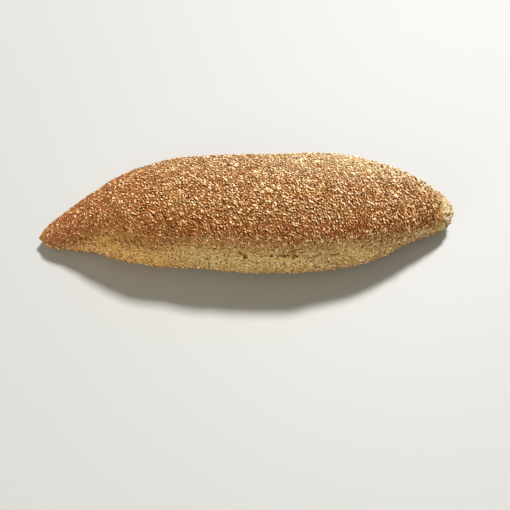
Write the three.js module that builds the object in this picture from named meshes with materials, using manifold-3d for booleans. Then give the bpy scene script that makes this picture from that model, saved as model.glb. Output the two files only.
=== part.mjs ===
// Bran loaf: one long wholemeal loaf, rolled in coarse wheat bran and baked unslashed.
// It was baked end to end with its neighbours, so one end is a slim tip with a small break
// and the other is a blunt end torn open to the crumb.
// Millimetres, +Z up. The loaf lies along X, its slim tip at -X and its torn end at +X.
import * as THREE from 'three';
import { mergeVertices } from 'three/addons/utils/BufferGeometryUtils.js';
import Module from 'manifold-3d';

const wasm = await Module();
wasm.setup();

// Driving dimensions.
const loafLength = 300;
const loafWidth = 90.6;
const loafHeight = 64;
const bellyAt = 0.615; // where the loaf is widest, as a share of its length from the slim tip
const waistHeight = 0.42; // height of the widest line, as a share of the section's height
const crownPower = 2.15; // superellipse power of the section over its widest line
const underPower = 2.6; // and under it
const heightPower = 0.85; // how the height follows the width from the belly to the ends
const traySink = 3; // how far the round underside settled flat on the baking tray
const axisBow = -8; // sideways bend of the whole loaf at its middle
const axisSkew = 12; // and its slight S-curve

// The two ends: half their width, the powers of the taper towards them, how far they rise off the
// surface and bend sideways, how far back the rim is rounded and how much it closes in, and the
// broken face: how far it leans over and turns to the side (degrees), and its bulge.
const slimEnd = {
  halfWidth: 10.2,
  shoulderPower: 3.88,
  taperPower: 1.9,
  lift: 5,
  hook: -5.6,
  rimRounding: 12.4,
  rimPinch: 0.85,
  lean: 30,
  turn: -12,
  bulge: -1,
};
const tornEnd = {
  halfWidth: 13.6,
  shoulderPower: 2.56,
  taperPower: 1.32,
  lift: 9.7,
  hook: -12,
  rimRounding: 4.1,
  rimPinch: 0.33,
  lean: -29.5,
  turn: 14.5,
  bulge: 4.5,
};
const liftFrom = 0.45; // share of the way from belly to end where the underside starts to rise
const hookFrom = 0.6; // where the sideways hook starts
const leanFrom = 0.86; // and where the sections start to lean and turn like the broken face
const leanPower = 1.5; // how late most of that comes

// Low swells that leave the crust as uneven as a hand-shaped loaf.
const swells = [
  { waves: 3, folds: 1, start: 0.47, turn: 5.58, depth: 1.1 },
  { waves: 5, folds: 2, start: 3.87, turn: 0.48, depth: 0.66 },
  { waves: 8, folds: 2, start: 0.68, turn: 3.65, depth: 0.46 },
  { waves: 12, folds: 3, start: 2.4, turn: 1.04, depth: 0.23 },
];

// Torn crumb: ragged lumps over the broken face, and open bubbles in it.
const crumbLumpDepth = 0.8;
const crumbLumpPitch = 7;
const crumbFinePitch = 4;
const bubbles = [
  { side: -0.46, rise: 0.28, radius: 1.7 },
  { side: -0.05, rise: 0.42, radius: 1.3 },
  { side: 0.1, rise: -0.2, radius: 2.1 },
  { side: 0.5, rise: 0.12, radius: 1.5 },
  { side: -0.4, rise: -0.42, radius: 1.4 },
];
const bubbleShow = 0.35; // share of a bubble's radius that its middle lies below the face

// The largest bran flakes on the crown, baked onto the crust: curled chips that stand up at one edge.
const flakeCount = 260;
const flakeSeed = 20;
const flakeLength = [2.6, 3.6];
const flakeWidth = [1.5, 2.2];
const flakeHeight = 0.8; // how far its edge stands above the crust
const flakeBedding = 0.45; // how deep its foot lies in the crust
const flakeCurl = 0.45; // how far the raised edge is from its middle, as a share of its size
const flakeUnevenness = 0.22;
const flakeSides = 5;
const crownFrom = THREE.MathUtils.degToRad(122);
const crownTo = THREE.MathUtils.degToRad(240);
const flakeReach = [0.03, 0.975]; // shares of the length between which the large flakes lie

// Fineness of the skin.
const ringSides = 40;
const stationCount = 42;
const tornFaceRows = 5;
const slimFaceRows = 3;
const stationCrowding = 0.6; // 0 spaces the stations evenly, 1 crowds them towards the ends
const cornerWeld = 0.005; // corners closer than this are one corner

const crustMaterial = new THREE.MeshStandardMaterial({
  color: new THREE.Color(0xa87446),
  roughness: 0.85,
  metalness: 0,
});

const fullTurn = 2 * Math.PI;
const halfWidth = loafWidth / 2;

// A sine or cosine raised to 2 / power and kept signed, which makes a superellipse.
function bulged(value, power) {
  return Math.sign(value) * Math.abs(value) ** (2 / power);
}

function clamp01(value) {
  return Math.min(Math.max(value, 0), 1);
}

// Where a station stands: which end it tapers to, its half width there, and its section's height.
function stationAt(share) {
  const end = share < bellyAt ? slimEnd : tornEnd;
  const taper = share < bellyAt ? (bellyAt - share) / bellyAt : (share - bellyAt) / (1 - bellyAt);
  const fullness = (1 - taper ** end.shoulderPower) ** end.taperPower;
  const reach = end.halfWidth + (halfWidth - end.halfWidth) * fullness;
  const height = (loafHeight + traySink) * (reach / halfWidth) ** heightPower;
  const fromEnd = (share < bellyAt ? share : 1 - share) * loafLength;
  const rim = Math.sqrt(1 - end.rimPinch * clamp01(1 - fromEnd / end.rimRounding) ** 2);
  return { end, taper, reach, height, rim };
}

// The middle line of the loaf, at the height of the widest line.
function axisPoint(share) {
  const { end, taper, height } = stationAt(share);
  const along = 2 * share - 1;
  const hook = end.hook * clamp01((taper - hookFrom) / (1 - hookFrom)) ** 2;
  const lift = end.lift * clamp01((taper - liftFrom) / (1 - liftFrom)) ** 2;
  return new THREE.Vector3(
    (share - 0.5) * loafLength,
    axisBow * (1 - along ** 2) + axisSkew * (along ** 3 - along) + hook,
    lift - traySink + waistHeight * height,
  );
}

// How much a swell widens or narrows the section at an angle.
function swellAt(share, angle) {
  let depth = 0;
  for (const swell of swells) {
    const along = Math.sin(fullTurn * swell.waves * share + swell.start);
    depth += swell.depth * along * Math.cos(swell.folds * angle + swell.turn);
  }
  return 1 + depth / halfWidth;
}

// A point of the crust. Angle 0 is underneath, a quarter turn is +Y and half a turn is the top.
function crustPoint(share, angle) {
  const { end, taper, reach, height, rim } = stationAt(share);
  const over = -Math.cos(angle) >= 0;
  const power = over ? crownPower : underPower;
  const part = over ? 1 - waistHeight : waistHeight;
  const size = rim * swellAt(share, angle);
  const side = reach * size * bulged(Math.sin(angle), power);
  const rise = height * part * size * bulged(-Math.cos(angle), power);
  const leaning = clamp01((taper - leanFrom) / (1 - leanFrom)) ** leanPower;
  const lean = Math.tan(THREE.MathUtils.degToRad(end.lean)) * leaning;
  const turn = Math.tan(THREE.MathUtils.degToRad(end.turn)) * leaning;
  return axisPoint(share).add(new THREE.Vector3(lean * rise + turn * side, side, rise));
}

// A point of a broken face, from its middle at 0 to its rim at 1.
function facePoint(share, end, spread, angle) {
  const middle = new THREE.Vector3();
  for (let side = 0; side < ringSides; side += 1) {
    middle.addScaledVector(crustPoint(share, (side / ringSides) * fullTurn), 1 / ringSides);
  }
  const point = middle.clone().lerp(crustPoint(share, angle), spread);
  const wave = fullTurn / crumbLumpPitch;
  const fineWave = fullTurn / crumbFinePitch;
  const lump = Math.sin(wave * point.y) * Math.cos(wave * point.z) + Math.sin(fineWave * point.z);
  const open = 1 - spread ** 2;
  point.x += end.bulge * open + (end === tornEnd ? crumbLumpDepth * lump * Math.sqrt(open) : 0);
  return point;
}

// The closed skin, on the grid of a sphere whose top pole is the torn end's middle.
function loafSkin() {
  const rows = tornFaceRows + stationCount + slimFaceRows;
  const skin = new THREE.SphereGeometry(1, ringSides, rows);
  const places = skin.getAttribute('position');
  for (let index = 0; index < places.count; index += 1) {
    const row = Math.floor(index / (ringSides + 1));
    const angle = ((index % (ringSides + 1)) % ringSides) * (fullTurn / ringSides);
    const station = row - tornFaceRows;
    let point;
    if (station < 0) {
      point = facePoint(1, tornEnd, row / tornFaceRows, angle);
    } else if (station > stationCount) {
      point = facePoint(0, slimEnd, (rows - row) / slimFaceRows, angle);
    } else {
      const even = station / stationCount;
      const crowded = 0.5 - 0.5 * Math.cos(Math.PI * even);
      point = crustPoint(1 - THREE.MathUtils.lerp(even, crowded, stationCrowding), angle);
    }
    places.setXYZ(index, point.x, point.y, point.z);
  }
  return skin;
}

// A closed geometry as a solid that can be joined and cut.
function solid(geometry) {
  const bare = geometry.index ? geometry.clone() : geometry;
  bare.deleteAttribute('normal');
  bare.deleteAttribute('uv');
  const merged = mergeVertices(bare);
  return new wasm.Manifold(new wasm.Mesh({
    numProp: 3,
    vertProperties: new Float32Array(merged.getAttribute('position').array),
    triVerts: new Uint32Array(merged.index.array),
  }));
}

// Numbers between 0 and 1 in the same order each time, by the Park-Miller rule.
function seededDraws(seed) {
  const factor = 16807;
  const modulus = 2147483647;
  let state = seed;
  return () => {
    state = (state * factor) % modulus;
    return state / modulus;
  };
}

// The turn and place of something lying on the crust: its X along the loaf and its Y outwards.
function crustSeat(share, angle) {
  const step = 0.002;
  const along = crustPoint(share + step, angle).sub(crustPoint(share - step, angle)).normalize();
  const around = crustPoint(share, angle + step).sub(crustPoint(share, angle - step));
  const outwards = around.cross(along).normalize().negate();
  const across = along.clone().cross(outwards);
  return new THREE.Matrix4().makeBasis(along, outwards, across).setPosition(crustPoint(share, angle));
}

// One uneven five-sided chip, its foot widened so that it has its own size where it leaves the crust.
function branFlake(draw) {
  const depth = flakeHeight + flakeBedding;
  const flake = new THREE.ConeGeometry(depth / flakeHeight / 2, depth, flakeSides, 1);
  const places = flake.getAttribute('position');
  const lobes = draw() * fullTurn;
  const curl = (2 * draw() - 1) * flakeCurl;
  for (let index = 0; index < places.count; index += 1) {
    const corner = Math.atan2(places.getZ(index), places.getX(index));
    const uneven = 1 + flakeUnevenness * Math.sin(2 * corner + lobes);
    const raised = places.getY(index) > 0 ? curl : 0;
    places.setX(index, places.getX(index) * uneven + raised);
    places.setZ(index, places.getZ(index) * uneven + raised);
  }
  const length = THREE.MathUtils.lerp(...flakeLength, draw());
  const width = THREE.MathUtils.lerp(...flakeWidth, draw());
  flake.scale(length, 1, width);
  flake.translate(0, depth / 2 - flakeBedding, 0);
  flake.rotateY(draw() * fullTurn);
  return flake;
}

// The flakes are spread evenly by area: slices of equal crown area along the loaf, and a
// golden-ratio step across the crown from each flake to the next.
function crownFlakes() {
  const draw = seededDraws(flakeSeed);
  const slices = 400;
  const areaUpTo = [0];
  for (let slice = 0; slice < slices; slice += 1) {
    areaUpTo.push(areaUpTo[slice] + stationAt((slice + 0.5) / slices).reach);
  }
  const goldenStep = (Math.sqrt(5) - 1) / 2;
  const flakes = [];
  for (let number = 0; number < flakeCount; number += 1) {
    const area = ((number + 0.5) / flakeCount) * areaUpTo[slices];
    const slice = areaUpTo.findIndex((upTo) => upTo >= area);
    const share = THREE.MathUtils.lerp(...flakeReach, slice / slices);
    const angle = THREE.MathUtils.lerp(crownFrom, crownTo, (number * goldenStep) % 1);
    flakes.push(branFlake(draw).applyMatrix4(crustSeat(share, angle)));
  }
  return flakes;
}

// One bubble that the tear has opened, on the torn face.
function openBubble({ side, rise, radius }) {
  const angle = Math.atan2(side, -rise);
  const place = facePoint(1, tornEnd, Math.hypot(side, rise), angle);
  const bubble = new THREE.IcosahedronGeometry(radius, 1);
  bubble.translate(place.x - bubbleShow * radius, place.y, place.z);
  return bubble;
}

function trayCut() {
  const depth = 40;
  const cut = new THREE.BoxGeometry(loafLength * 2, loafWidth * 2, depth);
  cut.translate(0, 0, -depth / 2);
  return cut;
}

// A joined solid as a geometry, without the slivers that a join leaves between close corners.
function weldedGeometry(joined) {
  const { vertProperties, triVerts } = joined.getMesh();
  const raw = new THREE.BufferGeometry();
  raw.setAttribute('position', new THREE.BufferAttribute(vertProperties, 3));
  raw.setIndex(new THREE.BufferAttribute(triVerts, 1));
  const welded = mergeVertices(raw, cornerWeld);
  const corners = welded.index.array;
  const kept = [];
  for (let first = 0; first < corners.length; first += 3) {
    const triangle = corners.slice(first, first + 3);
    if (new Set(triangle).size === 3) {
      kept.push(...triangle);
    }
  }
  welded.setIndex(kept);
  return welded;
}

function loafGeometry() {
  let loaf = solid(loafSkin());
  for (const bubble of bubbles) {
    loaf = loaf.subtract(solid(openBubble(bubble)));
  }
  for (const flake of crownFlakes()) {
    loaf = loaf.add(solid(flake));
  }
  const geometry = weldedGeometry(loaf.subtract(solid(trayCut())));
  geometry.computeBoundingBox();
  const middle = geometry.boundingBox.getCenter(new THREE.Vector3());
  geometry.translate(-middle.x, -middle.y, 0);
  geometry.computeVertexNormals();
  return geometry;
}

const loaf = new THREE.Mesh(loafGeometry(), crustMaterial);
loaf.name = 'loaf';

const branLoaf = new THREE.Group();
branLoaf.add(loaf);

export default branLoaf;
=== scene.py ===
import math

import bpy
import numpy as np
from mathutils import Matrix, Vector, noise


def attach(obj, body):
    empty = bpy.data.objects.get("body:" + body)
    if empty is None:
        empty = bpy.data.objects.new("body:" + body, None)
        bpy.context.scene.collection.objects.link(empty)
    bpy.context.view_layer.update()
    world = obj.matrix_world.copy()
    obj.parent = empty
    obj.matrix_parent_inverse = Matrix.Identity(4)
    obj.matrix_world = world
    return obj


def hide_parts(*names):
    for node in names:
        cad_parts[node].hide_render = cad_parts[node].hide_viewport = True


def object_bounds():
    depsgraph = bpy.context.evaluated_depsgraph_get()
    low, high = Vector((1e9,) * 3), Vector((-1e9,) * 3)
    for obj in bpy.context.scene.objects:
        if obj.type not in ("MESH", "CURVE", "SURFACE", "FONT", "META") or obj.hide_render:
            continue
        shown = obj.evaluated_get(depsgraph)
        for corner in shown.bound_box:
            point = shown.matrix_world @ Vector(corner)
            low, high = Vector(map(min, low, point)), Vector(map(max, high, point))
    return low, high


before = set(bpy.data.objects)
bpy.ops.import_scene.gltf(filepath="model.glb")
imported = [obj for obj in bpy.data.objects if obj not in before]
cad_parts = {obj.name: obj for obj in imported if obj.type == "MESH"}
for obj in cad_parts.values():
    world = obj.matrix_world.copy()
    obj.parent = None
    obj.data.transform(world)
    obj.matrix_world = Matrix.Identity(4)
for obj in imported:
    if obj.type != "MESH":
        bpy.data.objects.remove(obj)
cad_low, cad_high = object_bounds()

bpy.ops.object.select_all(action="DESELECT")

# ---------------------------------------------------------------- the crust
# The loaf itself: dough rolled into a long tapered shape, proved and baked unslashed on a tray.
# It is drawn out ring by ring from the slim tip to the torn end, smoothed, creased and roughened.
# The crown browned in the oven, and the flanks, where the loaves stood close, stayed pale.
MM = 0.001
LOAF_LENGTH = 300 * MM
LOAF_WIDTH = 90.6 * MM
LOAF_HEIGHT = 64 * MM
BELLY_AT = 0.615
WAIST_HEIGHT = 0.42
CROWN_POWER = 2.15
UNDER_POWER = 2.6
HEIGHT_POWER = 0.85
TRAY_SINK = 3 * MM
AXIS_BOW = -8 * MM
AXIS_SKEW = 12 * MM
SLIM_END = dict(
    half_width=10.2 * MM, shoulder=3.88, fall=1.9, lift=5 * MM, hook=-5.6 * MM,
    rim=12.4 * MM, pinch=0.85, lean=30, turn=-12, bulge=-1 * MM,
)
TORN_END = dict(
    half_width=13.6 * MM, shoulder=2.56, fall=1.32, lift=9.7 * MM, hook=-12 * MM,
    rim=4.1 * MM, pinch=0.33, lean=-29.5, turn=14.5, bulge=4.5 * MM,
)
LIFT_FROM = 0.45
HOOK_FROM = 0.6
LEAN_FROM = 0.86
LEAN_POWER = 1.5
SWELLS = (
    dict(waves=3, folds=1, start=0.47, turn=5.58, depth=1.1 * MM),
    dict(waves=5, folds=2, start=3.87, turn=0.48, depth=0.66 * MM),
    dict(waves=8, folds=2, start=0.68, turn=3.65, depth=0.46 * MM),
    dict(waves=12, folds=3, start=2.4, turn=1.04, depth=0.23 * MM),
)
RING_SIDES = 72
STATIONS = 58
CROWDING = 0.6
ORDER_STEP = 0.001 * MM


def of_end(share, key):
    return np.where(share < BELLY_AT, SLIM_END[key], TORN_END[key])


def ramp(value, low, high):
    """0 up to low, 1 from high on, and smooth between them."""
    part = np.clip((value - low) / (high - low), 0, 1)
    return part * part * (3 - 2 * part)


def station(share):
    """Half width, section height, closing of the rim and taper at shares of the loaf's length."""
    taper = np.where(share < BELLY_AT, (BELLY_AT - share) / BELLY_AT, (share - BELLY_AT) / (1 - BELLY_AT))
    taper = np.clip(taper, 0, 1)
    fullness = (1 - taper ** of_end(share, "shoulder")) ** of_end(share, "fall")
    slim = of_end(share, "half_width")
    reach = slim + (LOAF_WIDTH / 2 - slim) * fullness
    height = (LOAF_HEIGHT + TRAY_SINK) * (reach / (LOAF_WIDTH / 2)) ** HEIGHT_POWER
    from_end = np.where(share < BELLY_AT, share, 1 - share) * LOAF_LENGTH
    closing = np.sqrt(1 - of_end(share, "pinch") * np.clip(1 - from_end / of_end(share, "rim"), 0, 1) ** 2)
    return reach, height, closing, taper


def axis_point(share):
    """The middle line of the loaf, at the height of its widest line."""
    _, height, _, taper = station(share)
    along = 2 * share - 1
    hook = of_end(share, "hook") * np.clip((taper - HOOK_FROM) / (1 - HOOK_FROM), 0, 1) ** 2
    lift = of_end(share, "lift") * np.clip((taper - LIFT_FROM) / (1 - LIFT_FROM), 0, 1) ** 2
    bend = AXIS_BOW * (1 - along ** 2) + AXIS_SKEW * (along ** 3 - along) + hook
    return np.stack([(share - 0.5) * LOAF_LENGTH, bend, lift - TRAY_SINK + WAIST_HEIGHT * height], axis=-1)


def bulged(value, power):
    return np.sign(value) * np.abs(value) ** (2 / power)


def form_points(share, angle):
    """Points of the form: angle 0 is underneath, a quarter turn is +Y and half a turn is the top."""
    reach, height, closing, taper = station(share)
    over = -np.cos(angle) >= 0
    power = np.where(over, CROWN_POWER, UNDER_POWER)
    swell = 0
    for s in SWELLS:
        along = np.sin(math.tau * s["waves"] * share + s["start"])
        swell = swell + s["depth"] * along * np.cos(s["folds"] * angle + s["turn"])
    size = closing * (1 + swell / (LOAF_WIDTH / 2))
    side = reach * size * bulged(np.sin(angle), power)
    rise = height * np.where(over, 1 - WAIST_HEIGHT, WAIST_HEIGHT) * size * bulged(-np.cos(angle), power)
    leaning = np.clip((taper - LEAN_FROM) / (1 - LEAN_FROM), 0, 1) ** LEAN_POWER
    lean, turn = (np.tan(np.radians(of_end(share, key))) * leaning for key in ("lean", "turn"))
    points = axis_point(share) + np.stack([lean * rise + turn * side, side, rise], axis=-1)
    points[..., 2] = np.maximum(points[..., 2], 0)
    return points


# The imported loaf's box starts at the slim tip and at the front flank, and so does this form's.
probe = form_points(*np.meshgrid(np.linspace(0, 1, 301), np.linspace(0, math.tau, 145), indexing="ij"))
form_low = np.minimum(probe.min((0, 1)), probe[0].mean(0) + [SLIM_END["bulge"], 0, 0])
form_origin = np.array([form_low[0] - cad_low[0], form_low[1] - cad_low[1], 0])


def crust_points(share, angle):
    return form_points(share, angle) - form_origin


def mesh_points(obj):
    flat = np.empty(len(obj.data.vertices) * 3)
    obj.data.vertices.foreach_get("co", flat)
    return flat.reshape(-1, 3)


def mesh_normals(obj):
    flat = np.empty(len(obj.data.vertices) * 3)
    obj.data.vertices.foreach_get("normal", flat)
    return flat.reshape(-1, 3)


def set_mesh_points(obj, points):
    obj.data.vertices.foreach_set("co", np.ascontiguousarray(points, float).ravel())
    obj.data.update()


def apply_modifiers(obj):
    bpy.context.view_layer.objects.active = obj
    for modifier in list(obj.modifiers):
        bpy.ops.object.modifier_apply(modifier=modifier.name)


def add_attribute(obj, name, values, kind="FLOAT"):
    attribute = obj.data.attributes.new(name, kind, "POINT")
    field = "value" if kind == "FLOAT" else "vector"
    attribute.data.foreach_set(field, np.ascontiguousarray(values, float).ravel())


def read_attribute(obj, name, width=1):
    attribute = obj.data.attributes[name]
    flat = np.empty(len(attribute.data) * width)
    attribute.data.foreach_get("value" if width == 1 else "vector", flat)
    return flat if width == 1 else flat.reshape(-1, width)


def add_turn(obj, turn):
    """Stores an angle as its sine and cosine, so that a subdivision can average it."""
    add_attribute(obj, "turn", np.stack([np.sin(turn), np.cos(turn), 0 * turn], -1), "FLOAT_VECTOR")


def read_turn(obj):
    sine, cosine, _ = read_attribute(obj, "turn", 3).T
    return np.arctan2(sine, cosine) % math.tau


def noise_at(points, pitch):
    return np.array([noise.noise(Vector(point) / pitch) for point in points])


def add_relief(obj, name, pitch, depth, strength, group=""):
    """A displacement by clouds of one pitch, whose low half cuts deeper than its high half stands."""
    texture = bpy.data.textures.new(name, "CLOUDS")
    texture.noise_scale = pitch
    texture.noise_depth = depth
    displace = obj.modifiers.new(name, "DISPLACE")
    displace.texture = texture
    displace.texture_coords = "LOCAL"
    displace.vertex_group = group
    displace.mid_level = 0.62
    displace.strength = strength


def select_only(obj, domain, chosen):
    """Edit mode on the chosen vertices or faces alone."""
    bpy.context.view_layer.objects.active = obj
    bpy.ops.object.mode_set(mode="EDIT")
    bpy.ops.mesh.select_mode(type="VERT" if domain == "vertices" else "FACE")
    bpy.ops.mesh.select_all(action="DESELECT")
    bpy.ops.object.mode_set(mode="OBJECT")
    getattr(obj.data, domain).foreach_set("select", chosen)
    bpy.ops.object.mode_set(mode="EDIT")


def settle_order(obj):
    """Numbers vertices and faces by place, because edit mode leaves them in another order each run."""
    points = mesh_points(obj)
    rank = np.lexsort(np.round(points / ORDER_STEP).T)
    number = np.empty(len(points), int)
    number[rank] = np.arange(len(points))
    held = {name: width for name, width in (("share", 1), ("turn", 3)) if name in obj.data.attributes}
    values = {name: read_attribute(obj, name, width)[rank] for name, width in held.items()}
    rings = []
    for face in obj.data.polygons:
        ring = [int(number[corner]) for corner in face.vertices]
        first = ring.index(min(ring))
        rings.append(ring[first:] + ring[:first])
    obj.data.clear_geometry()
    obj.data.from_pydata(points[rank].tolist(), [], sorted(rings))
    for name, width in held.items():
        add_attribute(obj, name, values[name], "FLOAT" if width == 1 else "FLOAT_VECTOR")


even = np.linspace(0, 1, STATIONS + 1)
shares = (1 - CROWDING) * even + CROWDING * (0.5 - 0.5 * np.cos(math.pi * even))
bpy.ops.mesh.primitive_circle_add(vertices=RING_SIDES, radius=LOAF_WIDTH / 2, rotation=(0, math.pi / 2, 0))
crust = bpy.context.object
crust.name = "loaf_crust"
bpy.ops.object.transform_apply(location=True, rotation=True, scale=True)
bpy.ops.object.mode_set(mode="EDIT")
bpy.ops.mesh.select_all(action="SELECT")
for step in np.diff(shares):
    bpy.ops.mesh.extrude_region_move(TRANSFORM_OT_translate={"value": (step * LOAF_LENGTH, 0, 0)})
bpy.ops.object.mode_set(mode="OBJECT")

settle_order(crust)
tube = mesh_points(crust)
tube_turn = np.arctan2(tube[:, 1], -tube[:, 2])
tube_share = np.clip(tube[:, 0] / LOAF_LENGTH, 0, 1)
set_mesh_points(crust, crust_points(tube_share, tube_turn))
add_attribute(crust, "share", tube_share)
add_turn(crust, tube_turn)

# Each end is closed by drawing its rim inwards and a little into the loaf, under the broken crumb.
END_DEPTH = 2 * MM
END_STEPS = 4
for end_share, inwards in ((0, 1), (1, -1)):
    at_end = np.abs(read_attribute(crust, "share") - end_share) < 1e-6
    middle = mesh_points(crust)[at_end].mean(0)
    select_only(crust, "vertices", at_end)
    for step in range(END_STEPS):
        bpy.ops.mesh.extrude_region_move(
            TRANSFORM_OT_translate={"value": (inwards * END_DEPTH / END_STEPS, 0, 0)}
        )
        shrink = (END_STEPS - step) / (END_STEPS + 1 - step)
        bpy.ops.transform.resize(value=(1, shrink, shrink), center_override=tuple(middle))
    bpy.ops.mesh.merge(type="CENTER")
    bpy.ops.object.mode_set(mode="OBJECT")
bpy.ops.object.mode_set(mode="EDIT")
bpy.ops.mesh.select_all(action="SELECT")
bpy.ops.mesh.normals_make_consistent(inside=False)
bpy.ops.object.mode_set(mode="OBJECT")
settle_order(crust)

smoothing = crust.modifiers.new("smoothing", "SUBSURF")
smoothing.levels = smoothing.render_levels = 2
apply_modifiers(crust)

# The crease: the pale flank folded in as the loaf rose, and left a shallow groove full of pores.
# It runs between two shares of the length. Its width and reach are degrees round the section, and one
# degree is about DEGREE_ROUND long there.
CREASE_FROM, CREASE_TO = 0.455, 0.765
CREASE_DEPTH = 0.8 * MM
CREASE_WIDTH = 1.7
CREASE_REACH = 10
CREASE_PORES = 34
FLANK_PORES = 60
PORE_STRETCH = 1.5
DEGREE_ROUND = 0.75 * MM
# Where bran lies on the crust it is sunk by this much, and by twice as much low on the front, so that
# the flakes don't make the loaf larger.
BRAN_BED = 0.32 * MM


def front_angle(turn):
    """Degrees down from the top towards -Y, the side seen, and the same on the far side with a minus."""
    return np.degrees(turn % math.tau - math.pi)


def crease_front(share):
    """How far down the crease runs: a little lower towards the torn end, and wavy."""
    return 75 + 9 * ramp(share, 0.62, 0.74) + 0.8 * np.sin(share * 70)


def from_crease(share, front):
    return front - crease_front(share)


faces = crust.data.polygons
corner_share = read_attribute(crust, "share")
corner_front = front_angle(read_turn(crust))
starts = np.array([face.vertices[0] for face in faces])
near_crease = (
    (corner_share[starts] > CREASE_FROM) & (corner_share[starts] < CREASE_TO)
    & (np.abs(from_crease(corner_share[starts], corner_front[starts])) < CREASE_REACH)
)
select_only(crust, "polygons", near_crease)
bpy.ops.mesh.subdivide(number_cuts=2)
bpy.ops.object.mode_set(mode="OBJECT")
settle_order(crust)

# The relief fades out where the tray pressed the underside flat.
points = mesh_points(crust)
off_tray = ramp(points[:, 2], 0.2 * MM, 5 * MM)
relief = crust.vertex_groups.new(name="relief")
levels = np.round(off_tray, 2)
for level in np.unique(levels):
    relief.add(np.flatnonzero(levels == level).tolist(), float(level), "REPLACE")
add_relief(crust, "lumps", 13 * MM, 1, 1.2 * MM, "relief")
add_relief(crust, "grain", 2.6 * MM, 3, 1.0 * MM, "relief")
apply_modifiers(crust)
crust.vertex_groups.clear()

points, normals = mesh_points(crust), mesh_normals(crust)
share, turn = read_attribute(crust, "share"), read_turn(crust)
front = front_angle(turn)
aside = np.abs(front)


def hump(middle, width):
    """1 at one share of the length, and fading out over a width on both sides of it."""
    return np.exp(-(((share - middle) / width) ** 2))


# What one dough has and no other: the low front edge is drawn in at three places, and the far side of
# the crown stands out at one.
low_front = ramp(front, 60, 95) * (1 - ramp(front, 120, 150))
far_top = ramp(-front, 15, 45) * (1 - ramp(-front, 80, 110))
uneven = low_front * (2.0 * hump(0.375, 0.06) + 1.5 * hump(0.125, 0.03) + 1.3 * hump(0.88, 0.035))
uneven = uneven - 0.6 * far_top * hump(0.8, 0.1)
points = points - normals * uneven[:, None] * MM
under_bran = BRAN_BED * (1 + ramp(front, 60, 90)) * (1 - ramp(aside, 112, 135))
under_bran = under_bran * ramp(np.minimum(share, 1 - share), 0, 0.04)
in_crease = ramp(share, CREASE_FROM, CREASE_FROM + 0.06) * (1 - ramp(share, CREASE_TO - 0.06, CREASE_TO))
groove = in_crease * np.exp(-((from_crease(share, front) / CREASE_WIDTH) ** 2))
groove = groove * ramp(noise_at(points, 5 * MM), -0.35, 0.3)
sunk = under_bran + CREASE_DEPTH * groove * (0.6 + 0.8 * noise_at(points, 6 * MM))
pore = np.zeros(len(points))
draws = np.random.default_rng(5)
pore_places = [
    (at, crease_front(at) + draws.normal(0, 1.9), draws.uniform(0.45, 1.15), draws.uniform(1.0, 1.8))
    for at in draws.uniform(CREASE_FROM + 0.02, CREASE_TO - 0.03, CREASE_PORES)
] + [
    (draws.uniform(0.15, 0.9), draws.uniform(62, 96), draws.uniform(0.2, 0.4), draws.uniform(0.2, 0.4))
    for _ in range(FLANK_PORES)
]
for at, down, radius, depth in pore_places:
    middle = points[np.hypot((share - at) * LOAF_LENGTH, (front - down) * DEGREE_ROUND).argmin()]
    around = np.flatnonzero(np.abs(share - at) < 0.02)
    along, across, up = (points[around] - middle).T
    away = np.sqrt((along / PORE_STRETCH) ** 2 + across ** 2 + up ** 2) / (radius * MM)
    hollow = np.clip(1 - away ** 2, 0, 1)
    sunk[around] += depth * MM * np.sqrt(hollow)
    pore[around] = np.maximum(pore[around], ramp(hollow, 0, 0.5))
set_mesh_points(crust, points - normals * sunk[:, None])


def add_node(tree, kind, inputs=None, **settings):
    """A shader node with its settings, its inputs set to values or linked from other nodes' outputs."""
    made = tree.nodes.new(kind)
    for key, value in settings.items():
        setattr(made, key, value)
    for key, value in (inputs or {}).items():
        if isinstance(value, bpy.types.NodeSocket):
            tree.links.new(value, made.inputs[key])
        else:
            made.inputs[key].default_value = value
    return made


def new_material(name):
    material = bpy.data.materials.new(name)
    material.use_nodes = True
    material.node_tree.nodes.clear()
    return material, material.node_tree


def colour_ramp(tree, factor, stops):
    made = add_node(tree, "ShaderNodeValToRGB", {"Fac": factor})
    elements = made.color_ramp.elements
    while len(elements) < len(stops):
        elements.new(0.5)
    for element, (position, colour) in zip(elements, stops):
        element.position = position
        element.color = (*colour, 1)
    return made.outputs["Color"]


def mix_colours(tree, factor, first, second):
    """The first colour at a factor of 0 and the second at 1, each a node's output or a plain colour."""
    made = add_node(tree, "ShaderNodeMix", data_type="RGBA")
    sockets = {s.identifier: s for s in made.inputs}
    tree.links.new(factor, sockets["Factor_Float"])
    for key, value in (("A_Color", first), ("B_Color", second)):
        if isinstance(value, bpy.types.NodeSocket):
            tree.links.new(value, sockets[key])
        else:
            sockets[key].default_value = (*value, 1)
    return next(s for s in made.outputs if s.identifier == "Result_Color")


def reckon(tree, operation, first, second, clamp=False):
    made = add_node(tree, "ShaderNodeMath", {0: first, 1: second}, operation=operation, use_clamp=clamp)
    return made.outputs[0]


def scaled(tree, value, by):
    return reckon(tree, "MULTIPLY", value, by)


def attribute_value(tree, name):
    return add_node(tree, "ShaderNodeAttribute", attribute_name=name).outputs["Fac"]


def cloud(tree, where, pitch, detail):
    """Noise that is uneven at one pitch, in metres."""
    made = add_node(tree, "ShaderNodeTexNoise", {"Vector": where, "Scale": 1 / pitch, "Detail": detail})
    return made.outputs["Fac"]


def sharpened(tree, value, low, high):
    made = add_node(tree, "ShaderNodeMapRange", {"Value": value, "From Min": low, "From Max": high})
    return made.outputs["Result"]


def unsettled(tree, value, noise_value, amount):
    """A value moved up and down by a noise, and kept between 0 and 1."""
    moved = scaled(tree, reckon(tree, "SUBTRACT", noise_value, 0.5), amount)
    return reckon(tree, "ADD", value, moved, True)


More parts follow.
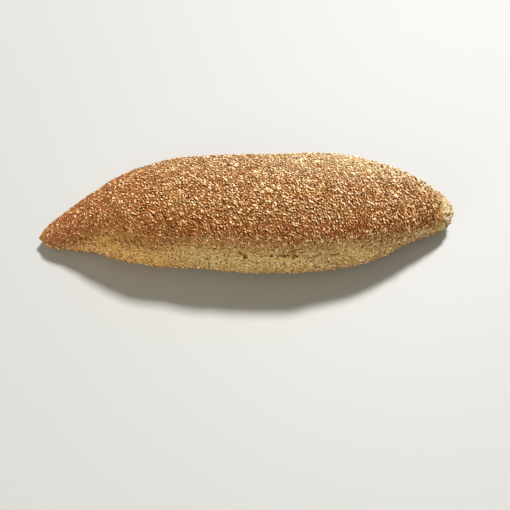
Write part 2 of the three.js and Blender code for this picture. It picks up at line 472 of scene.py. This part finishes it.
# How far each part of the crust browned: the crown wholly, the flanks hardly, and the ends further
# down. The brown ends between two angles down from the top, and more softly towards the slim tip.
BROWN_TO, PALE_FROM = 49, 78
wobble = noise_at(points, 18 * MM)
to_tip = 1 - ramp(share, 0.02, 0.17)
to_torn = ramp(share, 0.76, 0.93)
reach_down = 45 * to_tip + 9 * to_torn
blurred = 13 * (1 - ramp(share, 0.2, 0.45))
browned_aside = aside + 9 * wobble - reach_down + 9 * hump(0.15, 0.06)
browning = 1 - ramp(browned_aside, BROWN_TO - blurred, PALE_FROM + blurred)
redness = ramp(aside, 26, 46) * (1 - ramp(aside - reach_down, 58, 80))
redness = np.maximum(redness, 0.9 * to_tip)
golden = (1 - ramp(share, 0.18, 0.42)) * ramp(aside, 36, 60)
# Up to about 7 mm above the floor the crust is painted darker: the tray's browning underneath, and painted
# shade along the loaf's lower edge.
underneath = 1 - ramp(points[:, 2] + 3 * MM * wobble, 0.5 * MM, 7 * MM)
smooth_skin = to_tip * 0.9 + 0.5 * (1 - ramp(share, 0.15, 0.4)) * (1 - to_tip)
# The far side of the crown, towards the key light behind, is painted lighter and creamier: painted light and
# sheen.
far_sheen_mask = ramp(-front, -10, 40) * (0.4 * ramp(share, 0.1, 0.4) + 0.6 * ramp(share, 0.45, 0.75))
add_attribute(crust, "browning", browning)
add_attribute(crust, "redness", np.clip(redness, 0, 1))
add_attribute(crust, "golden", golden)
add_attribute(crust, "pore", np.clip(pore + 0.2 * groove, 0, 1))
add_attribute(crust, "underneath", underneath)
add_attribute(crust, "smooth_skin", smooth_skin)
add_attribute(crust, "far_sheen_mask", far_sheen_mask)

PALE_CRUST = (0.84, 0.68, 0.29)
PALE_SPECK = (0.42, 0.24, 0.085)
GOLDEN_CRUST = (0.86, 0.485, 0.11)
BROWN_CRUST = (0.38, 0.137, 0.027)
BROWN_SHADE = (0.13, 0.033, 0.003)
RED_CRUST = (0.36, 0.100, 0.027)
SKIN_CRUST = (0.355, 0.12, 0.048)
FAR_SHEEN_CRUST = (0.62, 0.46, 0.25)
TRAY_AND_SHADE_CRUST = (0.26, 0.13, 0.045)
PORE_SHADE = (0.11, 0.045, 0.012)
crust_material, tree = new_material("baked_crust")
where = add_node(tree, "ShaderNodeTexCoord").outputs["Object"]
patches = cloud(tree, where, 15 * MM, 4)
grain = cloud(tree, where, 2.4 * MM, 4)
meal_grain = cloud(tree, where, 1.1 * MM, 2)
pale = mix_colours(tree, sharpened(tree, meal_grain, 0.36, 0.56), PALE_SPECK, PALE_CRUST)
pale = mix_colours(tree, scaled(tree, attribute_value(tree, "golden"), 0.75), pale, GOLDEN_CRUST)
brown = mix_colours(tree, sharpened(tree, grain, 0.36, 0.62), BROWN_SHADE, BROWN_CRUST)
redness_value = unsettled(tree, attribute_value(tree, "redness"), patches, 0.7)
brown = mix_colours(tree, scaled(tree, redness_value, 0.6), brown, RED_CRUST)
skin_value = scaled(tree, attribute_value(tree, "smooth_skin"), sharpened(tree, grain, 0.3, 0.5))
brown = mix_colours(tree, skin_value, brown, SKIN_CRUST)
brown = mix_colours(tree, scaled(tree, attribute_value(tree, "far_sheen_mask"), 0.7), brown, FAR_SHEEN_CRUST)
colour = mix_colours(tree, unsettled(tree, attribute_value(tree, "browning"), patches, 0.8), pale, brown)
colour = mix_colours(tree, scaled(tree, attribute_value(tree, "underneath"), 0.6), colour, TRAY_AND_SHADE_CRUST)
# Pores and the crease groove are painted darker: painted shade in their hollows.
colour = mix_colours(tree, attribute_value(tree, "pore"), colour, PORE_SHADE)
bump = add_node(tree, "ShaderNodeBump", {"Height": grain, "Strength": 0.8, "Distance": 0.8 * MM})
fine_bump = add_node(tree, "ShaderNodeBump", {
    "Height": meal_grain, "Strength": 0.8, "Distance": 0.35 * MM, "Normal": bump.outputs[0],
})
surface = add_node(tree, "ShaderNodeBsdfPrincipled", {
    "Base Color": colour, "Roughness": 0.65, "Specular IOR Level": 0.07, "Normal": fine_bump.outputs[0],
})
add_node(tree, "ShaderNodeOutputMaterial", {"Surface": surface.outputs[0]})
crust.data.materials.append(crust_material)
bpy.ops.object.select_all(action="DESELECT")
crust.select_set(True)
bpy.ops.object.shade_smooth()
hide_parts("loaf")
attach(crust, "root")

# ---------------------------------------------------------------- the broken crumb
# Where the neighbouring loaves were pulled off: the open crumb at the blunt end, torn into lumps and
# open cells, and the small scar of the slim tip. Each face's rim laps back over the crust's end.

# How far the middle of a face stands out of its rim, and how pointed that is.
TORN_PUSH, TORN_ROUNDING = np.array([5.4, 0, 0]) * MM, 2
TIP_PUSH, TIP_ROUNDING = np.array([-4.0, 0.6, -2.2]) * MM, 1.15
# Where the crumb's rim stands highest, in degrees down from the top, and the share of the length by
# which it laps past its border on the crust.
CRUMB_TOP = 22
CRUMB_LAP = 0.008
CELL_TRIES = 30


def crumb_border(angle):
    """The share at which the crumb begins: at the crown it is the rim, and lower down it tears back."""
    return 1 - 0.028 * ramp(np.abs(front_angle(angle) - CRUMB_TOP), 10, 90)


def crumb_lift(angle, beyond):
    """How many millimetres the crumb stands over the crust, from its rim at 0 to where it ends at 1."""
    at_rim = 1.1 - 0.8 * ramp(np.abs(front_angle(angle) - CRUMB_TOP), 20, 70)
    return at_rim * (1 - beyond) - 0.1 * beyond


def broken_points(end_share, end, spread, angle):
    """The broken face from its middle at 0 to its rim at 1, and on to 2 back along the crust."""
    beyond = np.clip(spread - 1, 0, 1)
    if end is SLIM_END:
        start, lift, push, rounding = 0.01 * beyond, -0.2 - 0.4 * beyond, TIP_PUSH, TIP_ROUNDING
    else:
        start = 1 - (1 + CRUMB_LAP - crumb_border(angle)) * beyond
        lift, push, rounding = crumb_lift(angle, beyond), TORN_PUSH, TORN_ROUNDING
    rim = crust_points(start, angle)
    around = np.arange(24)[:, None] * math.tau / 24
    axis = crust_points(np.stack([start] * 24), np.tile(around, len(angle))).mean(0)
    middle = crust_points(np.full(48, end_share), np.arange(48) * math.tau / 48).mean(0)
    across = rim - axis
    rim = rim + across / np.linalg.norm(across, axis=-1, keepdims=True) * lift[:, None] * MM
    inside = np.clip(spread, 0, 1)[:, None]
    face = middle + (rim - middle) * inside + push * (1 - inside ** rounding)
    return np.where(spread[:, None] > 1, rim, face)


def broken_face(name, end_share, end, sides, rows):
    """One end's broken face, drawn in row by row from a ring that lies back along the crust."""
    bpy.ops.mesh.primitive_circle_add(vertices=sides, radius=1, rotation=(0, -math.pi / 2, 0))
    obj = bpy.context.object
    obj.name = name
    bpy.ops.object.transform_apply(location=True, rotation=True, scale=True)
    bpy.ops.object.mode_set(mode="EDIT")
    bpy.ops.mesh.select_mode(type="VERT")
    bpy.ops.mesh.select_all(action="SELECT")
    bpy.ops.transform.resize(value=(1, 2, 2))
    for row in range(rows, 1, -1):
        bpy.ops.mesh.extrude_region_move()
        bpy.ops.transform.resize(value=(1, (row - 1) / row, (row - 1) / row), center_override=(0, 0, 0))
    bpy.ops.mesh.extrude_region_move()
    bpy.ops.mesh.merge(type="CENTER")
    bpy.ops.object.mode_set(mode="OBJECT")
    settle_order(obj)
    flat = mesh_points(obj)
    spread = np.hypot(flat[:, 1], flat[:, 2])
    angle = np.arctan2(flat[:, 1], -flat[:, 2])
    set_mesh_points(obj, broken_points(end_share, end, spread, angle))
    # The torn crumb is painted darker towards its rim and more on its front, away from the key light: painted
    # shade of the torn fold.
    rim_front_shade = 0.7 + 0.3 * ramp(front_angle(angle), -20, 40)
    add_attribute(obj, "rim", ramp(spread, 0.76, 1.04) * rim_front_shade if end is TORN_END else 0 * spread + 0.6)
    bpy.ops.object.mode_set(mode="EDIT")
    bpy.ops.mesh.select_all(action="SELECT")
    bpy.ops.mesh.normals_make_consistent(inside=False)
    bpy.ops.object.mode_set(mode="OBJECT")
    smoothing = obj.modifiers.new("smoothing", "SUBSURF")
    smoothing.levels = smoothing.render_levels = 1
    apply_modifiers(obj)
    outwards = 1 if end is TORN_END else -1
    if mesh_normals(obj)[:, 0].mean() * outwards < 0:
        bpy.ops.object.mode_set(mode="EDIT")
        bpy.ops.mesh.select_all(action="SELECT")
        bpy.ops.mesh.flip_normals()
        bpy.ops.object.mode_set(mode="OBJECT")
    return obj


def open_cells(obj, draws, count, radii, reach, first):
    """Open cells of the crumb: round hollows, each with its own size, kept apart, the given ones first."""
    at, normal = mesh_points(obj), mesh_normals(obj)
    cell = np.zeros(len(at))
    sunk = np.zeros(len(at))
    sizes = np.sort(draws.uniform(0, 1, count) ** 2.2)[::-1] * (radii[1] - radii[0]) + radii[0]
    places = [(at[np.linalg.norm(at - place, axis=1).argmin()], radii[1]) for place in first]
    for size in sizes:
        for _ in range(CELL_TRIES):
            place = at[draws.integers(len(at))]
            if all(np.linalg.norm(place - other) > (size + wide) * 1.02 for other, wide in places):
                places.append((place, size))
                break
    for place, size in places:
        along, across, up = (at - place).T
        stretch = draws.uniform(0.75, 1.3)
        away = np.sqrt((along * 0.8) ** 2 + (across * stretch) ** 2 + (up / stretch) ** 2) / size
        hollow = np.clip(1 - away ** 2, 0, 1)
        sunk += size * reach * np.sqrt(hollow)
        cell = np.maximum(cell, hollow)
    set_mesh_points(obj, at - normal * sunk[:, None])
    add_attribute(obj, "cell", cell)


CRUMB = (0.78, 0.63, 0.37)
CRUMB_BRAN = (0.46, 0.28, 0.11)
CELL_SHADE_CRUMB = (0.22, 0.10, 0.03)
SHADED_RIM_CRUMB = (0.34, 0.135, 0.020)
TIP_CRUMB = (0.50, 0.27, 0.085)
TIP_OCHRE = (0.27, 0.105, 0.018)


def new_crumb(name, crumb_colour, rim_colour):
    material, tree = new_material(name)
    where = add_node(tree, "ShaderNodeTexCoord").outputs["Object"]
    fibres = cloud(tree, where, 1.6 * MM, 5)
    bran_specks = cloud(tree, where, 0.8 * MM, 1)
    colour = mix_colours(tree, sharpened(tree, fibres, 0.3, 0.55), CRUMB_BRAN, crumb_colour)
    colour = mix_colours(tree, sharpened(tree, bran_specks, 0.66, 0.72), colour, CRUMB_BRAN)
    # Open cells are painted darker: painted shade in their hollows.
    colour = mix_colours(tree, scaled(tree, attribute_value(tree, "cell"), 0.85), colour, CELL_SHADE_CRUMB)
    rim_value = unsettled(tree, attribute_value(tree, "rim"), fibres, 1.2)
    colour = mix_colours(tree, scaled(tree, rim_value, 0.85), colour, rim_colour)
    bump = add_node(tree, "ShaderNodeBump", {"Height": fibres, "Strength": 0.9, "Distance": 0.5 * MM})
    surface = add_node(tree, "ShaderNodeBsdfPrincipled", {
        "Base Color": colour, "Roughness": 0.85, "Specular IOR Level": 0.05, "Normal": bump.outputs[0],
    })
    add_node(tree, "ShaderNodeOutputMaterial", {"Surface": surface.outputs[0]})
    return material


torn_material = new_crumb("torn_crumb", CRUMB, SHADED_RIM_CRUMB)
tip_material = new_crumb("tip_crumb", TIP_CRUMB, TIP_OCHRE)
for name, end_share, end, sides, rows, tears, count, radii, material in (
    ("torn_crumb", 1.0, TORN_END, 160, 48, 1.3 * MM, 60, (0.3 * MM, 1.6 * MM), torn_material),
    ("tip_crumb", 0.0, SLIM_END, 96, 28, 0.9 * MM, 30, (0.2 * MM, 0.7 * MM), tip_material),
):
    crumb = broken_face(name, end_share, end, sides, rows)
    large = []
    if end is TORN_END:
        # Three large cells, given as shares of the way out to the rim and angles round the face.
        large = broken_points(1.0, end, np.array([0.5, 0.52, 0.3]), math.pi + np.radians([8, 62, -130]))
        add_relief(crumb, "crumb_lumps", 4.5 * MM, 1, 2.6 * MM)
    add_relief(crumb, f"{name}_tears", 1.8 * MM, 3, tears)
    apply_modifiers(crumb)
    open_cells(crumb, np.random.default_rng(8), count, radii, 0.8, large)
    crumb.data.materials.append(material)
    bpy.ops.object.select_all(action="DESELECT")
    crumb.select_set(True)
    bpy.ops.object.shade_smooth()
    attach(crumb, "root")

# ---------------------------------------------------------------- the bran
# Coarse wheat bran that the dough was rolled in: flat, curled, torn-edged flakes, toasted by the
# oven. Bright flakes lie on the crown and pale meal on the flanks, and each kind is one piece.
FLAKE_THICKNESS = 0.2 * MM
FLAKE_CURL = 0.35
LENGTH_SPREAD = 0.35
# The edge of a flake that points this way, away from the key light, is painted darker: painted shade on its
# shaded side.
SHADED_EDGE_SIDE = np.array([-0.4, -0.92, 0.0])
# Kinds whose tones reach past this one have pale, slightly glossy bran, and the darker one, the flakes of
# painted shadow, a dull one.
PALE_TONE = 0.3
BRAN_STOPS = (
    (0.0, (0.045, 0.010, 0.001)),
    (0.3, (0.46, 0.172, 0.040)),
    (0.6, (0.93, 0.535, 0.235)),
    (0.85, (1.0, 0.785, 0.51)),
    (1.0, (1.0, 0.88, 0.53)),
)
crust.data.calc_loop_triangles()
triangle_count = len(crust.data.loop_triangles)
corners = np.empty(triangle_count * 3, np.int64)
crust.data.loop_triangles.foreach_get("vertices", corners)
corners = corners.reshape(-1, 3)
seat_points, seat_normals = mesh_points(crust), mesh_normals(crust)
a, b, c = (seat_points[corners[:, k]] for k in range(3))
middles = (a + b + c) / 3
triangle_area = np.linalg.norm(np.cross(b - a, c - a), axis=1) / 2
spot_share = share[corners].mean(1)
spot_front = front[corners[:, 0]]
spot_aside = np.abs(spot_front)
spot_browning = browning[corners].mean(1)
spot_patch = noise_at(middles, 8 * MM)
spot_open = ramp(middles[:, 2], 0.4 * MM, 2.5 * MM)
spot_groove = np.clip(1.1 * groove + 1.6 * pore, 0, 1)[corners].mean(1)
spot_border = crumb_border(turn[corners[:, 0]])
spot_beyond = np.clip((1 - spot_share) / (1 + CRUMB_LAP - spot_border), 0, 1)
spot_lift = np.maximum(crumb_lift(turn[corners[:, 0]], spot_beyond), 0) * MM


def seats(draws, count, density, gap):
    """Places on the crust with their normals, drawn by density and area and kept a gap apart."""
    weight = triangle_area * density
    picked = draws.choice(triangle_count, count, p=weight / weight.sum())
    u, v = draws.random(count), draws.random(count)
    folded = u + v > 1
    u, v = np.where(folded, 1 - u, u), np.where(folded, 1 - v, v)
    mix = np.stack([1 - u - v, u, v], -1)[..., None]
    places = (seat_points[corners[picked]] * mix).sum(1)
    normals = (seat_normals[corners[picked]] * mix).sum(1)
    normals /= np.linalg.norm(normals, axis=1, keepdims=True)
    places += normals * spot_lift[picked][:, None]
    cells = np.floor(places / gap).astype(int)
    taken, kept = {}, []
    near_cells = [(i, j, k) for i in (-1, 0, 1) for j in (-1, 0, 1) for k in (-1, 0, 1)]
    for index, cell in enumerate(map(tuple, cells)):
        near = (taken.get((cell[0] + i, cell[1] + j, cell[2] + k)) for i, j, k in near_cells)
        if any(n is not None and ((places[n] - places[index]) ** 2).sum() < gap * gap for n in near):
            continue
        taken[cell] = index
        kept.append(index)
    return places[kept], normals[kept], picked[kept]


def slant(draws, spots):
    """Which way the flakes on these spots point: combed on the crown, and any way lower down."""
    combed = 4.5 * (1 - ramp(spot_aside[spots], 35, 75)) * ramp(spot_share[spots], 0.05, 0.3)
    return draws.vonmises(math.radians(-100), combed, len(spots)) / 2


def tangents(outwards):
    """The directions along the crust: forward, towards the torn end, and sideways."""
    forward = np.cross(np.broadcast_to([0.0, 1.0, 0.0], outwards.shape), outwards)
    forward /= np.linalg.norm(forward, axis=1, keepdims=True)
    return forward, np.cross(outwards, forward)


def flakes(name, draws, found, yaw, length, slimness, stand, tilt, sides):
    """One mesh of closed, uneven, curled flakes on the given seats, larger towards the torn end."""
    places, outwards, spots = found
    count = len(places)
    local = (1 - 0.06 * ramp(spot_aside[spots], 30, 60)) * (1 + 0.25 * ramp(spot_share[spots], 0.75, 0.9))
    local *= 1 - 0.25 * (1 - ramp(spot_share[spots], 0.03, 0.15))
    long = np.clip(draws.lognormal(math.log(length), LENGTH_SPREAD, count), 0.5 * length, 1.9 * length)
    long = (long * local)[:, None]
    wide = long * draws.uniform(*slimness, (count, 1))
    turn = (np.arange(sides) + draws.uniform(-0.32, 0.32, (count, sides))) * math.tau / sides
    uneven = draws.uniform(0.65, 1.15, (count, sides))
    x = long / 2 * uneven * np.cos(turn)
    y = wide / 2 * uneven * np.sin(turn)
    bend = draws.normal(0, FLAKE_CURL, (count, 1))
    twist = draws.normal(0, FLAKE_CURL, (count, 1))
    z = bend * x * x / long + twist * x * y / long
    middle = np.zeros((count, 1))
    thick = FLAKE_THICKNESS * draws.uniform(0.7, 1.3, (count, 1))
    x = np.concatenate([x, middle, middle], 1)
    y = np.concatenate([y, middle, middle], 1)
    z = np.concatenate([z, thick / 2, -thick / 2], 1) + stand * draws.uniform(0.2, 1.0, (count, 1))
    leaning = draws.normal(0, tilt, (count, 2))
    forward, sideways = tangents(outwards)
    first = forward * np.cos(yaw)[:, None] + sideways * np.sin(yaw)[:, None]
    first = first + outwards * np.tan(leaning[:, :1])
    first /= np.linalg.norm(first, axis=1, keepdims=True)
    third = outwards - first * (outwards * first).sum(1, keepdims=True)
    third /= np.linalg.norm(third, axis=1, keepdims=True)
    second = np.cross(third, first)
    roll = leaning[:, 1:]
    second, third = second * np.cos(roll) + third * np.sin(roll), third * np.cos(roll) - second * np.sin(roll)
    verts = (
        places[:, None]
        + x[..., None] * first[:, None]
        + y[..., None] * second[:, None]
        + z[..., None] * third[:, None]
    )
    verts[..., 2] = np.maximum(verts[..., 2], 0)
    edge = ((verts - places[:, None]) @ SHADED_EDGE_SIDE) / (wide / 2)
    ring = np.arange(sides)
    after = (ring + 1) % sides
    upper = np.stack([ring, after, np.full(sides, sides)], -1)
    lower = np.stack([after, ring, np.full(sides, sides + 1)], -1)
    faces = np.concatenate([upper, lower])[None] + (np.arange(count) * (sides + 2))[:, None, None]
    mesh = bpy.data.meshes.new(name)
    mesh.from_pydata(verts.reshape(-1, 3).tolist(), [], faces.reshape(-1, 3).tolist())
    obj = bpy.data.objects.new(name, mesh)
    bpy.context.collection.objects.link(obj)
    add_attribute(obj, "edge", np.clip(edge, 0, 1))
    return obj


def new_bran(name, roughness, specular):
    material, tree = new_material(name)
    where = add_node(tree, "ShaderNodeTexCoord").outputs["Object"]
    mottle = cloud(tree, where, 0.7 * MM, 1)
    colour = colour_ramp(tree, unsettled(tree, attribute_value(tree, "tone"), mottle, 0.3), BRAN_STOPS)
    surface = add_node(tree, "ShaderNodeBsdfPrincipled", {
        "Base Color": colour, "Roughness": roughness, "Specular IOR Level": specular,
    })
    add_node(tree, "ShaderNodeOutputMaterial", {"Surface": surface.outputs[0]})
    return material


pale_bran = new_bran("toasted_bran", 0.45, 0.22)
shadow_flake_material = new_bran("painted_shadow_bran", 0.9, 0.0)


def add_bran(name, seed, found, length, slimness, stand, tilt, tones, sides=6, yaw=None):
    """One kind of bran: lighter on the far side as painted sheen of the key light behind, redder down the
    front and near both ends, and each flake's shaded edge painted darker.
    """
    draws = np.random.default_rng(seed)
    spots = found[2]
    yaw = slant(draws, spots) if yaw is None else yaw
    piece = flakes(name, draws, found, yaw, length, slimness, stand, tilt, sides)
    is_pale = tones[1] > PALE_TONE
    at_right = ramp(spot_share[spots], 0.15, 0.4)
    # Flakes on the far side are painted lighter: painted sheen of the key light behind.
    sheen_lift = 0.15 * ramp(spot_share[spots], 0.4, 0.75) * ramp(-spot_front[spots], -20, 20)
    sheen_lift = sheen_lift * (1 - 0.7 * ramp(spot_share[spots], 0.8, 0.9))
    redder = 0.2 * (1 - ramp(spot_share[spots], 0.2, 0.5))
    redder += (0.17 - 0.06 * ramp(spot_share[spots], 0.6, 0.8)) * ramp(spot_front[spots], 20, 45)
    redder = redder * (1 - (0.5 + 0.3 * at_right) * ramp(spot_front[spots], 58, 72))
    at_end = ramp(spot_share[spots], 0.7, 0.88) * ramp(spot_front[spots], -25, 10)
    redder += 0.15 * at_end * (1 - ramp(spot_front[spots], 60, 80))
    toned = 0.85 * np.clip(draws.uniform(*tones, len(spots)) * (1 - redder), 0, 1) + sheen_lift * is_pale
    # Each flake's edge on the side away from the key light is painted darker, most on the crown: painted
    # shade.
    edge_shade = 0.32 * (1 - ramp(spot_aside[spots], 65, 90))
    edge = read_attribute(piece, "edge")
    add_attribute(piece, "tone", np.repeat(toned, sides + 2) * (1 - np.repeat(edge_shade, sides + 2) * edge))
    piece.data.materials.append(pale_bran if is_pale else shadow_flake_material)
    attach(piece, "root")
    return yaw


def shadow_places(found, yaw, gap):
    """Seats a gap away from each flake, on the side of its long edge that faces -X and -Y, away from the key
    light, where a dark flake lies as painted shadow.
    """
    places, outwards, spots = found
    forward, sideways = tangents(outwards)
    across = np.sin(yaw)[:, None] * forward - np.cos(yaw)[:, None] * sideways
    across *= np.where(across @ [0.5, 0.87, 0] > 0, -1, 1)[:, None]
    return places + across * gap, outwards, spots


# How thickly each kind lies: straw and toasted flakes on the crown, which reaches further down at both
# ends, dark ones as painted shadows next to the straw ones, meal and flecks on the flank, and crumbs at its
# foot.
at_tip = 1 - ramp(spot_share, 0.05, 0.22)
on_crust = spot_open * (spot_share < spot_border - 0.005 + 0.015 * spot_patch) * (1 - 0.95 * spot_groove)
spot_reach = 12 * ramp(spot_share, 0.76, 0.93) + 26 * (1 - ramp(spot_share, 0.12, 0.4))
crown = (1 - ramp(spot_aside - spot_reach, 46, 80)) * (1 + 0.15 * spot_patch) * on_crust
banded = 1 - 0.35 * ramp(spot_aside, 30, 48)
thin_top = 1 - 0.58 * (1 - ramp(spot_share, 0.3, 0.5)) * (1 - ramp(spot_front, 0, 30))
straw_density = crown * banded * thin_top * (1 - 0.55 * at_tip)
flank = ramp(spot_aside, 48, 72) * on_crust
straw = seats(np.random.default_rng(21), 44000, straw_density, 1.45 * MM)
straw_yaw = add_bran("bran_straw", 11, straw, 1.75 * MM, (0.4, 0.62), 0.8 * MM, 0.45, (0.92, 1.16))
# Seats for the dark flakes that are painted shadows of the straw flakes, on their side away from the key
# light.
shadow_seats = shadow_places(straw, straw_yaw, 0.8 * MM)
shaded = 1 - 0.5 * (1 - ramp(spot_share[straw[2]], 0.1, 0.45))
shaded = np.random.default_rng(25).random(len(straw_yaw)) < shaded * (0.1 + 0.9 * spot_browning[straw[2]])
shadow_seats = tuple(part[shaded] for part in shadow_seats)
add_bran("bran_shadow", 13, shadow_seats, 1.75 * MM, (0.42, 0.62), 0.12 * MM, 0.15, (0.0, 0.12), yaw=straw_yaw[shaded])
toasted = seats(np.random.default_rng(22), 16000, crown * (1 - 0.2 * at_tip) + 0.35 * flank, 0.95 * MM)
add_bran("bran_toasted", 12, toasted, 1.4 * MM, (0.4, 0.75), 0.35 * MM, 0.4, (0.16, 0.66))
meal = seats(np.random.default_rng(24), 26000, 0.08 * crown + flank, 1.15 * MM)
add_bran("bran_meal", 14, meal, 1.75 * MM, (0.4, 0.75), 0.6 * MM, 0.6, (0.65, 1.25), 5)
flecks = seats(np.random.default_rng(27), 8000, flank * (1 - 0.4 * at_tip), 1.6 * MM)
add_bran("bran_flecks", 16, flecks, 1.8 * MM, (0.4, 0.7), 0.7 * MM, 0.35, (0.19, 0.48))
foot = ramp(spot_front, 80, 96) * (1 - ramp(spot_front, 112, 120))
low_edge = foot * spot_open * (spot_share < spot_border)
crumbs = seats(np.random.default_rng(26), 700, low_edge, 1.5 * MM)
add_bran("bran_crumbs", 15, crumbs, 1.8 * MM, (0.5, 0.8), 0.6 * MM, 0.6, (0.25, 0.9))

# ---------------------------------------------------------------- the studio
# A plain pale floor, a soft key light behind the loaf on its right, so that the shadow falls to
# the front, a low weak fill at its front left, a dim light all round, and a camera that looks down
# at the photograph's angle. The distance is in millimetres.
bpy.ops.mesh.primitive_plane_add(size=8, location=(0, 0, 0))
floor = bpy.context.object
floor.name = "floor"
floor_material, tree = new_material("pale_floor")
surface = add_node(tree, "ShaderNodeBsdfPrincipled", {"Base Color": (0.51, 0.515, 0.52, 1), "Roughness": 0.6})
add_node(tree, "ShaderNodeOutputMaterial", {"Surface": surface.outputs[0]})
floor.data.materials.append(floor_material)


def from_target(azimuth, elevation):
    """The direction towards a light or the camera: azimuth 0 is in front, and 90 is on the right."""
    turned, raised = math.radians(azimuth), math.radians(elevation)
    level = math.cos(raised)
    return Vector((math.sin(turned) * level, -math.cos(turned) * level, math.sin(raised)))


def add_light(name, azimuth, elevation, distance, size, power, colour):
    data = bpy.data.lights.new(name, "AREA")
    data.size = size
    data.energy = power
    data.color = colour
    light = bpy.data.objects.new(name, data)
    towards = from_target(azimuth, elevation)
    light.location = towards * distance
    light.rotation_euler = towards.to_track_quat("Z", "Y").to_euler()
    bpy.context.collection.objects.link(light)


add_light("key", 150, 56, 2.6, 0.4, 92, (1.0, 0.985, 0.96))
add_light("fill", -45, 20, 1.8, 1.2, 14, (1.0, 0.97, 0.76))
world = bpy.data.worlds.new("studio")
world.use_nodes = True
background = world.node_tree.nodes["Background"]
background.inputs["Color"].default_value = (1.0, 0.995, 0.86, 1)
background.inputs["Strength"].default_value = 0.25
bpy.context.scene.world = world
bpy.context.scene.view_settings.view_transform = "Standard"

CAMERA_TARGET = Vector((5.695 * MM, -27.856 * MM, 0)) - Vector(form_origin)
CAMERA_AZIMUTH, CAMERA_ELEVATION = -4.642, 57.4
CAMERA_DISTANCE = 542.94
CAMERA_LENS = 51.44
camera_data = bpy.data.cameras.new("camera")
camera_data.lens = CAMERA_LENS
camera = bpy.data.objects.new("camera", camera_data)
back = from_target(CAMERA_AZIMUTH, CAMERA_ELEVATION)
camera.location = CAMERA_TARGET + back * CAMERA_DISTANCE * MM
camera.rotation_euler = (-back).to_track_quat("-Z", "Y").to_euler()
bpy.context.collection.objects.link(camera)
bpy.context.scene.camera = camera
